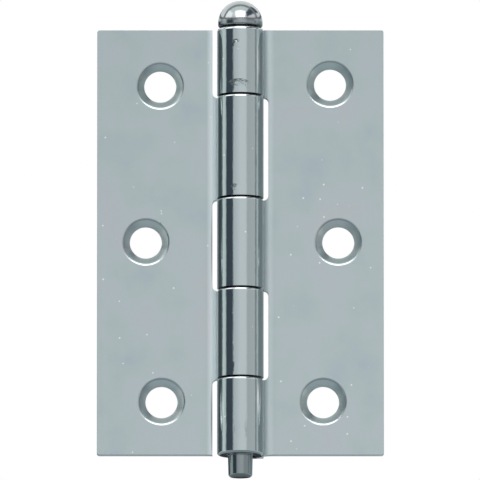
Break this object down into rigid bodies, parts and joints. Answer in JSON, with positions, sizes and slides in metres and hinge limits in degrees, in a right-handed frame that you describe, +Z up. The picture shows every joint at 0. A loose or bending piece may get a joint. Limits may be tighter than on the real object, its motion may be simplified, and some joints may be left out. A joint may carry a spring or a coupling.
{
  "type": "hinge",
  "caption": "Butt hinge of plated sheet steel: flat screw-on leaves with rolled knuckles, joined by a loose domed pin.",
  "frame": {"origin": "on the pin's axis at the mid-height of the leaves, with the hinge laid open flat", "axes": "+X across the leaves to the outer edge of the frame leaf, -Y out of the countersunk faces, +Z up the pin towards its head"},
  "size_m": [0.06, 0.0097, 0.1009],
  "materials": {
    "leaf_steel": "bright zinc plating, satin on the flats and polished by rolling on the knuckles",
    "pin_steel": "bright zinc plating over a polished turned pin"
  },
  "bodies": {
    "frame_side": {"frame_leaf": "leaf_steel"},
    "door_side": {"door_leaf": "leaf_steel"},
    "loose_pin": {"hinge_pin": "pin_steel"}
  },
  "joints": [
    {"name": "leaf_swing", "type": "hinge", "parent": "frame_side", "child": "door_side", "pos_m": [0, 0, 0], "axis": [0, 0, 1], "range_deg": [-100, 185]},
    {"name": "pin_lift", "type": "slide", "parent": "frame_side", "child": "loose_pin", "axis": [0, 0, 1], "range_m": [0, 0.0955]}
  ]
}
